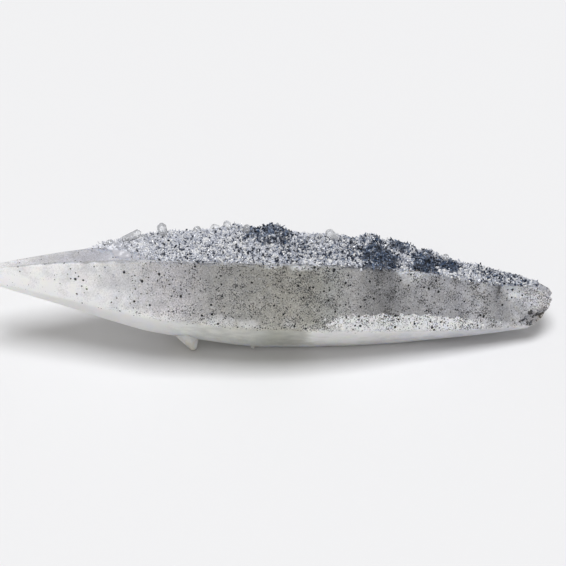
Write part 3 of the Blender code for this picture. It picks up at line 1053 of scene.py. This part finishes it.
def crust_thickness(x, across):
    """Thickness of the crust. It is nothing at the crust's front and back edges."""
    place = Vector((x, 0.5 * CRUST_WIDTH * across, 0.0))
    swells = SWELL_LEVEL + SWELL_HEIGHT * noise.noise(place / CRUST_SWELL_SIZE)
    grain = CRUST_GRAIN_HEIGHT * noise.noise(place / CRUST_GRAIN_SIZE)
    thickness = CRUST_THICKNESS * swells + grain + lump_height(x, across)
    return crust_cover(x, across) * max(thickness, LEAST_CRUST)


def outward(face, share):
    """The way the crust grows. Over the ridge between its two faces it turns smoothly."""
    degrees = FACE_DEGREES[face]
    if face == TOP:
        degrees += RIDGE_TURN * smooth_step(RIDGE_REACH, 0.0, share)
    if face == UP_BACK:
        degrees -= RIDGE_TURN * smooth_step(1.0 - RIDGE_REACH, 1.0, share)
    return direction(degrees)


def on_crust(x, across, height):
    """(point, way out) on the crust there, height above its bed, in millimetres."""
    face, share = crust_place(across)
    way = outward(face, share)
    point = on_face(x, face, share) + (crust_thickness(x, across) + height) * way
    point.z += axis_height(x)
    return point, way


print("crust at the first dark lump:", round(crust_thickness(*DARK_LUMPS[0][:2]), 1), "mm thick")

# %% [markdown]
# The bed's mesh is a rough sheet over the two crusted faces, closed by a second sheet inside the
# body and by strips along its four sides. Its points store two numbers for the material: how dark
# the mineral is there and whether crystals grow.

# %% Bed surface
BED_PAST_BREAK = 2.2
CREST_FADE = (1.0, 0.2)
FULL_COVER = 0.6


def peaks(point):
    """Height of the small crystal heads of the bed at a point."""
    return PEAK_HEIGHT * (PEAK_LEVEL - noise.voronoi(point / PEAK_SIZE)[0][0])


def crest(x, across):
    """How much higher or lower than its even thickness the crust lies near its ridge."""
    i = max(i for i in range(len(CREST) - 1) if x >= CREST[i][0])
    (x0, near), (x1, far) = CREST[i], CREST[i + 1]
    height = near + (far - near) * smooth_step(x0, x1, x)
    return height * smooth_step(*CREST_FADE, abs(1.0 - across))


def bed_point(x, across):
    """Point on the bed's rough outer side."""
    reach = crust_reach(x, across)
    full = smooth_step(0.0, FULL_COVER, crust_cover(x, across))
    sunk = BED_SUNK * max(full, 1.0 - reach) + LUMP_SUNK * lump_height(x, across)
    lift = crest(x, across) - sunk
    lift += reach * max(0.0, BED_LEAST - crust_thickness(x, across) - lift)
    point, way = on_crust(x, across, lift)
    return point + peaks(point) * reach * way


bed_columns = [2.0 * j / BED_COLUMNS for j in range(BED_COLUMNS + 1)]
bed_rows = evenly(CRUST_START_X, BREAK_START_X + BED_PAST_BREAK, BED_GAP)
bed_places = [[(along, across) for across in bed_columns] for along in bed_rows]
bed_points = [[bed_point(*place) for place in row] for row in bed_places]
print("bed:", len(bed_rows), "rows of", len(bed_columns), "points")

# %% Bed mesh


def sheet(mesh, rows):
    """Adds a sheet of faces over rows of vertices."""
    for near, far in zip(rows, rows[1:]):
        for a, b, c, d in zip(near, near[1:], far[1:], far):
            mesh.faces.new((a, d, c, b))


bed_mesh = bmesh.new()
bed_dark = bed_mesh.verts.layers.float.new("dark")
bed_grow = bed_mesh.verts.layers.float.new("grow")
outer, inner = [], []
for places, points in zip(bed_places, bed_points):
    outer.append([bed_mesh.verts.new(point * MM) for point in points])
    inner.append([])
    for place, vert in zip(places, outer[-1]):
        vert[bed_dark] = darkness(*place)
        vert[bed_grow] = crust_reach(*place)
        point, _ = on_crust(*place, -crust_thickness(*place) - BED_DEPTH)
        inner[-1].append(bed_mesh.verts.new(point * MM))
for rows in (outer, inner):
    sheet(bed_mesh, rows)
for end in (0, -1):
    sheet(bed_mesh, (outer[end], inner[end]))
    sheet(bed_mesh, ([row[end] for row in outer], [row[end] for row in inner]))
print("bed mesh:", len(bed_mesh.faces), "faces")

# %% [markdown]
# ## Crust materials
#
# The bed is grey where clear crystals grow on it and nearly black blue where the dark mineral is.
# The darker of its two greys is partly painted shade between the crystals. It could be one flat
# grey, but painted glints of a lighter tone keep the spaces between crystals alive.

# %% Bed material
CALM_X = (-18.0, -28.0)

bed_look = Look("crust_bed")
calm = bed_look.ranged(bed_look.x(), *CALM_X)
# The darker grey is partly painted shade between the crystals.
shaded_gaps = bed_look.mixed(calm, srgb(98, 105, 120), srgb(212, 214, 221))
heads = bed_look.mixed(calm, srgb(206, 209, 218), srgb(226, 227, 233))
pale = bed_look.mixed(bed_look.ranged(bed_look.noise(0.25, 2.0), 0.4, 0.6), shaded_gaps, heads)
hollows = bed_look.ranged(bed_look.noise(0.5, 3.0), 0.35, 0.7)
deep = bed_look.mixed(hollows, srgb(16, 23, 35), srgb(54, 67, 88))
# Painted glints on the dark mineral.
glints = bed_look.ranged(bed_look.noise(0.3, 1.0), 0.56, 0.66)
deep = bed_look.mixed(glints, deep, srgb(118, 133, 158))
bed_tone = bed_look.mixed(bed_look.attribute("dark"), pale, deep)
bare = bed_look.ranged(bed_look.attribute("grow"), 0.25, 0.0)
bed_tone = bed_look.mixed(bare, bed_tone, srgb(186, 186, 192))
bed_look.surface({"Base Color": bed_tone, "Roughness": 0.3, "IOR": QUARTZ_IOR})
bed = object_of("crust_bed", bed_mesh, bed_look.material)
print("crust bed material:", len(bed_look.nodes), "nodes")

# %% [markdown]
# The small crystals are glassy: most are white, some are dark, and in a dark mass nearly all are
# blue black. That contrast from grain to grain paints the sparkle: the dark grains among clear ones
# are partly dark mineral and partly painted shade between the crystals. Each crystal carries one
# random number, its tint, which picks its tone, so one material is enough for all of them. Shuffled,
# the same number decides which crystals turn dark where there is some dark mineral, so single dark
# ones stand among clear ones.

# %% Druse material
TINT_SHUFFLE = 7.31
ODDS_EDGE = 0.2
# The darkest tints are partly painted shade between the crystals.
SHARP_TINTS = (
    (0.0, 34, 40, 54), (0.12, 66, 74, 92), (0.19, 200, 204, 216),
    (0.5, 242, 244, 250), (0.8, 255, 255, 255), (1.0, 255, 255, 255),
)
SOFT_TINTS = (
    (0.0, 70, 73, 84), (0.03, 90, 92, 104), (0.06, 214, 216, 224),
    (0.7, 240, 241, 246), (1.0, 255, 255, 255),
)
DEEP_TINTS = (
    (0.0, 8, 15, 27), (0.5, 32, 46, 68), (0.8, 76, 97, 128),
    (0.92, 160, 174, 198), (1.0, 225, 230, 240),
)

druse_look = Look("druse_quartz")
tint = druse_look.attribute("tint")
sharp, soft, deep = [
    druse_look.tones(tint, tints) for tints in (SHARP_TINTS, SOFT_TINTS, DEEP_TINTS)
]
clear = druse_look.mixed(druse_look.ranged(druse_look.x(), *CALM_X), sharp, soft)
chance = druse_look.math("FRACT", druse_look.times(tint, TINT_SHUFFLE))
odds = druse_look.less(druse_look.attribute("dark"), chance)
grain_tone = druse_look.mixed(druse_look.ranged(odds, -ODDS_EDGE, ODDS_EDGE), clear, deep)
druse_look.surface(
    {"Base Color": grain_tone, "Roughness": 0.12, "IOR": QUARTZ_IOR, "Transmission Weight": 0.25}
)
print("druse material:", len(druse_look.nodes), "nodes")

# %% [markdown]
# The beads that stand out of the crust are clear quartz, mostly transmissive, with quartz's own
# IOR. The side crystals under the belly are milky and a little warm.

# %% Clear and pale quartz
bead_look = Look("clear_quartz")
bead_look.surface(
    {
        "Base Color": srgb(250, 251, 253),
        "Roughness": 0.15,
        "IOR": QUARTZ_IOR,
        "Transmission Weight": 0.7,
    }
)

pale_look = Look("pale_quartz")
mottle = pale_look.ranged(pale_look.noise(1.2, 3.0), 0.35, 0.65)
pale_look.surface(
    {
        "Base Color": pale_look.mixed(mottle, srgb(242, 236, 225), srgb(252, 250, 244)),
        "Roughness": 0.4,
        "IOR": QUARTZ_IOR,
        "Transmission Weight": 0.2,
        "Subsurface Weight": 0.8,
        "Subsurface Radius": (1.3, 1.1, 0.8),
        "Subsurface Scale": 2.0 * MM,
    }
)
print("quartz materials:", bead_look.material.name, "and", pale_look.material.name)

# %% [markdown]
# ## Shapes of a small crystal
#
# A quartz crystal is a six-sided prism under a six-sided pyramid, with three of the pyramid's
# faces larger than the others. Four small shapes are enough for thousands of crystals: a slender
# point, a stubby point, a blunt one and a broken grain. Each is one unit high and has only a few
# dozen faces, because it is repeated thousands of times.

# %% Small crystal shapes
ROOT_TAPER = 0.96
PEAK_OFFSET = 0.1


def hexagon(mesh, place, radius, height, lift):
    """Adds six vertices, every other one raised by lift and the rest lowered by it."""
    loop = []
    for i in range(SIDES):
        angle = 2.0 * math.pi * i / SIDES
        z = height + lift * (1 if i % 2 else -1)
        point = Vector((radius * math.cos(angle), radius * math.sin(angle), z))
        loop.append(mesh.verts.new(place @ point))
    return loop


def add_crystal(mesh, place, loops, top):
    """Adds a closed crystal. Loops are (radius, height, lift), and top is its peak or None."""
    made = [hexagon(mesh, place, *loop) for loop in loops]
    for near, far in zip(made, made[1:]):
        for i in range(SIDES):
            j = (i + 1) % SIDES
            mesh.faces.new((near[i], near[j], far[j], far[i]))
    mesh.faces.new(list(reversed(made[0])))
    if top is None:
        mesh.faces.new(made[-1])
        return
    peak = mesh.verts.new(place @ top)
    for i in range(SIDES):
        mesh.faces.new((made[-1][i], made[-1][(i + 1) % SIDES], peak))


def crystal_shape(name, root, radius, shoulder, skew, blunt):
    """A unit crystal along Z: it starts at root, below 0, and its pyramid starts at shoulder."""
    mesh = bmesh.new()
    loops = [(ROOT_TAPER * radius, root, 0.0), (radius, shoulder, skew)]
    if blunt > 0.0:
        loops.append((blunt * radius, 1.0, 0.0))
    peak = Vector((PEAK_OFFSET * radius, 0.0, 1.0))
    add_crystal(mesh, Matrix(), loops, None if blunt > 0.0 else peak)
    made = object_of(name, mesh)
    bpy.context.scene.collection.objects.unlink(made)
    return made


# Name, root, radius, shoulder, skew of the pyramid's foot, and width of a blunt head.
SHAPES = [
    crystal_shape("slender_point", -0.4, 0.36, 0.55, 0.07, 0.0),
    crystal_shape("stubby_point", -0.4, 0.5, 0.45, 0.1, 0.0),
    crystal_shape("blunt_point", -0.4, 0.48, 0.7, 0.06, 0.45),
    crystal_shape("broken_grain", -0.5, 0.6, 0.6, 0.18, 0.7),
]
print("small crystal shapes:", [shape.name for shape in SHAPES])

# %% [markdown]
# ## Growing the crust with Geometry Nodes
#
# Real druse crystals start at random places on the bed, push each other apart, and lean at random.
# Geometry Nodes do the same: scatter points with a least distance between them, put a random shape
# on each, turn it away from the surface with a random lean, and scale it. The tree ends in Realize
# Instances and Set Material, because what leaves this file has to be plain mesh.

# %% Scatter tree


def scatter_tree(name, shapes):
    """A node tree that grows small crystals on a surface, and its inputs' identifiers by name."""
    tree = bpy.data.node_groups.new(name, "GeometryNodeTree")
    tree.is_modifier = True
    identifiers = {}
    for label, kind in (
        ("Surface", "Geometry"),
        ("Least gap", "Float"),
        ("Most per square metre", "Float"),
        ("Smallest", "Float"),
        ("Largest", "Float"),
        ("Slimness", "Float"),
        ("Lean", "Float"),
        ("Seed", "Int"),
        ("Material", "Material"),
    ):
        made = tree.interface.new_socket(label, in_out="INPUT", socket_type="NodeSocket" + kind)
        identifiers[label] = made.identifier
    tree.interface.new_socket("Crystals", in_out="OUTPUT", socket_type="NodeSocketGeometry")
    given = tree.nodes.new("NodeGroupInput").outputs

    def add(kind, inputs, **settings):
        """Adds a node, fills its inputs by name or number, and returns its first output."""
        made = tree.nodes.new(kind)
        for setting, value in settings.items():
            setattr(made, setting, value)
        for label, value in inputs.items():
            enabled = [socket for socket in made.inputs if socket.enabled]
            named = {socket.name: socket for socket in reversed(enabled)}
            socket = enabled[label] if isinstance(label, int) else named[label]
            if isinstance(value, bpy.types.NodeSocket):
                tree.links.new(value, socket)
            else:
                socket.default_value = value
        return next((socket for socket in made.outputs if socket.enabled), None)

    def random(kind, low, high, step):
        """A random number for each crystal. Each step has its own row of numbers."""
        seed = add("FunctionNodeIntegerMath", {0: given["Seed"], 1: step})
        return add("FunctionNodeRandomValue", {"Min": low, "Max": high, "Seed": seed}, data_type=kind)

    def times(a, b):
        """One number times another."""
        return add("ShaderNodeMath", {0: a, 1: b}, operation="MULTIPLY")

    share = add("GeometryNodeInputNamedAttribute", {"Name": "share"}, data_type="FLOAT")
    points = add(
        "GeometryNodeDistributePointsOnFaces",
        {
            "Mesh": given["Surface"],
            "Distance Min": given["Least gap"],
            "Density Max": given["Most per square metre"],
            "Density Factor": share,
            "Seed": given["Seed"],
        },
        distribute_method="POISSON",
    )
    away = points.node.outputs["Rotation"]
    join = tree.nodes.new("GeometryNodeJoinGeometry")
    for shape in shapes:
        source = add("GeometryNodeObjectInfo", {"Object": shape, "As Instance": True})
        tree.links.new(source.node.outputs["Geometry"], join.inputs["Geometry"])

    # Each crystal leans at random and is turned round its own length.
    least = times(given["Lean"], -1.0)
    turn = {
        "X": random("FLOAT", least, given["Lean"], 1),
        "Y": random("FLOAT", least, given["Lean"], 2),
        "Z": random("FLOAT", 0.0, 2.0 * math.pi, 3),
    }
    turn = add("FunctionNodeEulerToRotation", {"Euler": add("ShaderNodeCombineXYZ", turn)})
    turn = {"Rotation": away, "Rotate By": turn}
    leaning = add("FunctionNodeRotateRotation", turn, rotation_space="LOCAL")

    # A squared chance makes small crystals common and large ones rare.
    chance = random("FLOAT", 0.0, 1.0, 4)
    chance = times(chance, chance)
    sizes = {"Value": chance, "To Min": given["Smallest"], "To Max": given["Largest"]}
    length = add("ShaderNodeMapRange", sizes)
    width = times(length, given["Slimness"])
    size = add("ShaderNodeCombineXYZ", {"X": width, "Y": width, "Z": length})

    crystals = add(
        "GeometryNodeInstanceOnPoints",
        {
            "Points": points,
            "Instance": join.outputs["Geometry"],
            "Pick Instance": True,
            "Instance Index": random("INT", 0, len(shapes) - 1, 5),
            "Rotation": leaning,
            "Scale": size,
        },
    )
    tint = {"Geometry": crystals, "Name": "tint", "Value": random("FLOAT", 0.0, 1.0, 6)}
    crystals = add("GeometryNodeStoreNamedAttribute", tint, domain="INSTANCE", data_type="FLOAT")
    crystals = add("GeometryNodeRealizeInstances", {"Geometry": crystals})
    painted = {"Geometry": crystals, "Material": given["Material"]}
    add("NodeGroupOutput", {"Crystals": add("GeometryNodeSetMaterial", painted)})
    return tree, identifiers


druse_tree, druse_inputs = scatter_tree("grow_crystals", SHAPES)
print("scatter tree:", len(druse_tree.nodes), "nodes")

# %% [markdown]
# The tree needs a surface to grow on. That is the bed's outer side with two numbers stored at
# every point: how likely a crystal is to start there, and how dark it is. The dark number stays
# with each crystal, so the material can read it later.

# %% Growing function


def grown(name, share_of, gap, most, sizes, slimness, lean, seed):
    """Grows crystals on the bed and returns them as one plain mesh object. Sizes are in mm."""
    mesh = bmesh.new()
    share = mesh.verts.layers.float.new("share")
    dark = mesh.verts.layers.float.new("dark")
    rows = []
    for places, points in zip(bed_places, bed_points):
        rows.append([mesh.verts.new(point * MM) for point in points])
        for place, vert in zip(places, rows[-1]):
            vert[share] = share_of(*place)
            vert[dark] = darkness(*place)
    sheet(mesh, rows)
    ground = bpy.data.objects.new("ground", bpy.data.meshes.new("ground"))
    mesh.to_mesh(ground.data)
    mesh.free()
    bpy.context.scene.collection.objects.link(ground)

    modifier = ground.modifiers.new("grow", "NODES")
    modifier.node_group = druse_tree
    for label, value in (
        ("Least gap", gap * MM),
        ("Most per square metre", most / MM**2),
        ("Smallest", sizes[0] * MM),
        ("Largest", sizes[1] * MM),
        ("Slimness", slimness),
        ("Lean", math.radians(lean)),
        ("Seed", seed),
        ("Material", druse_look.material),
    ):
        modifier[druse_inputs[label]] = value
    graph = bpy.context.evaluated_depsgraph_get()
    made = bpy.data.objects.new(name, bpy.data.meshes.new_from_object(ground.evaluated_get(graph)))
    bpy.data.objects.remove(ground)
    bpy.context.scene.collection.objects.link(made)
    print(name, "-", len(made.data.polygons), "faces")
    return made


# %% [markdown]
# The crust has stout grains everywhere and slender splinters among them. Both are grown for each
# face by itself, because one piece for the whole crust would have too many triangles.
# The back is seen less, so its grains stand a little further apart.

# %% Druse
DRUSE = {"sizes": (0.22, 0.56), "slimness": 0.8, "lean": 50}
SPLINTERS = {"gap": 0.42, "sizes": (0.4, 0.85), "slimness": 0.36, "lean": 70}
DARK_BARE = 0.75
BARE_RISE = (0.45, 0.9)


def crowd(x, across):
    """How likely a small crystal is to start there. Few grow on the dark mineral."""
    bare = DARK_BARE * smooth_step(*BARE_RISE, darkness(x, across))
    return crust_reach(x, across) * (1.0 - bare)


def on_top(x, across):
    """The same, on the top face alone."""
    return crowd(x, across) if across < 1.0 else 0.0


def on_back(x, across):
    """The same, on the upper back face alone."""
    return 0.0 if across < 1.0 else crowd(x, across)


druse = [
    grown("druse_top", on_top, gap=0.22, most=18.0, seed=4, **DRUSE),
    grown("druse_back", on_back, gap=0.275, most=12.0, seed=9, **DRUSE),
    grown("splinters_top", on_top, most=5.0, seed=14, **SPLINTERS),
    grown("splinters_back", on_back, most=4.0, seed=19, **SPLINTERS),
]

# %% [markdown]
# ## Bigger crystals
#
# Fifteen crystals stand out of the crust. They are few and each has a place of its own, so they are
# placed one by one on the same bed as everything else, and not scattered: how far along the
# crystal, how far across the crust, and the size and lean. Two more grow down and forward from the
# belly, and one of these props the crystal up. A small bevel wears their edges round.

# %% Large crystals: x, across, radius, length, lean along X in degrees
LARGE_CRYSTALS = (
    (-29.1, 0.95, 0.8, 1.2, -10),
    (-26.5, 0.95, 0.9, 3.9, 62),
    (-22.9, 0.95, 0.6, 1.4, 5),
    (-19.2, 0.95, 1.1, 2.5, -6),
    (-13.1, 1.05, 0.9, 1.8, 25),
    (-6.9, 1.0, 0.8, 1.8, -15),
    (-3.6, 0.95, 0.8, 1.8, 12),
    (1.3, 1.05, 2.1, 2.1, -4),
    (10.0, 1.0, 0.8, 1.4, 20),
    (13.0, 0.95, 1.1, 2.6, -38),
    (16.9, 1.5, 1.5, 3.2, 30),
    (-8.6, 1.6, 1.4, 3.2, -25),
    (1.4, 1.75, 1.2, 2.8, 20),
    (26.5, 1.55, 1.2, 2.8, -15),
    (33.8, 0.95, 0.8, 1.6, 20),
)
SUNK = 0.8
HEAD_TAPER = 0.9
PYRAMID_SHARE = 0.7
NEXT_TURN = 0.7

# Side crystals under the belly: x, y, z of the root, direction in degrees, lean along X, radius
# at the root, radius at the head, height of the head's pyramid, whole length.
STUB = (-15.2, -3.0, 4.4, -70, 16, 2.9, 0.7, 0.5, 4.86)
NUB = (-2.7, -3.9, 1.3, -42, 0, 0.8, 0.35, 0.2, 1.4)
PYRAMID_SKEW = 0.12
HEAD_OFFSET = 0.08

# Bevels: width in mm and segments.
LARGE_BEVEL = (0.2, 3)
SIDE_BEVEL = (0.12, 2)


def pointed(mesh, root, way, radii, length, pyramid, turn):
    """Adds a six-sided crystal that grows from root along way and ends in a pyramid."""
    aim = way.to_track_quat("Z", "X").to_matrix().to_4x4()
    turned = aim @ Matrix.Rotation(turn, 4, "Z") @ Matrix.Scale(MM, 4)
    loops = ((radii[0], 0.0, 0.0), (radii[1], length - pyramid, PYRAMID_SKEW * pyramid))
    peak = Vector((HEAD_OFFSET * radii[1], 0.0, length))
    add_crystal(mesh, Matrix.Translation(root * MM) @ turned, loops, peak)


def bevelled(name, mesh, width, segments, material):
    """Makes an object of the mesh and rounds its edges."""
    made = object_of(name, mesh, material)
    rounding = made.modifiers.new("worn_edges", "BEVEL")
    rounding.width = width * MM
    rounding.segments = segments
    rounding.limit_method = "NONE"
    return made


large_mesh = bmesh.new()
for i, (*place, radius, length, lean) in enumerate(LARGE_CRYSTALS):
    root, way = on_crust(*place, crest(*place) - SUNK)
    way = Matrix.Rotation(math.radians(lean), 3, way.cross(Vector((1.0, 0.0, 0.0)))) @ way
    radii = (radius, HEAD_TAPER * radius)
    pointed(large_mesh, root, way, radii, length, PYRAMID_SHARE * radius, NEXT_TURN * i)
large_crystals = bevelled("large_crystals", large_mesh, *LARGE_BEVEL, bead_look.material)

side_mesh = bmesh.new()
for *root, degrees, lean, root_radius, head_radius, pyramid, length in (STUB, NUB):
    way = direction(degrees) + math.tan(math.radians(lean)) * Vector((1.0, 0.0, 0.0))
    radii = (root_radius, head_radius)
    pointed(side_mesh, Vector(root), way.normalized(), radii, length, pyramid, math.pi / SIDES)
side_crystals = bevelled("side_crystals", side_mesh, *SIDE_BEVEL, pale_look.material)
print("large crystals:", len(LARGE_CRYSTALS), "and two side crystals")

# %% [markdown]
# ## Putting it together
#
# Nothing on the crystal moves, so every piece rides on the one body. The dressed crystal stands in
# for the packed solid, which is hidden.

# %% Finish
for piece in (body, bed, *druse, large_crystals, side_crystals):
    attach(piece, "root")
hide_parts(NODE)
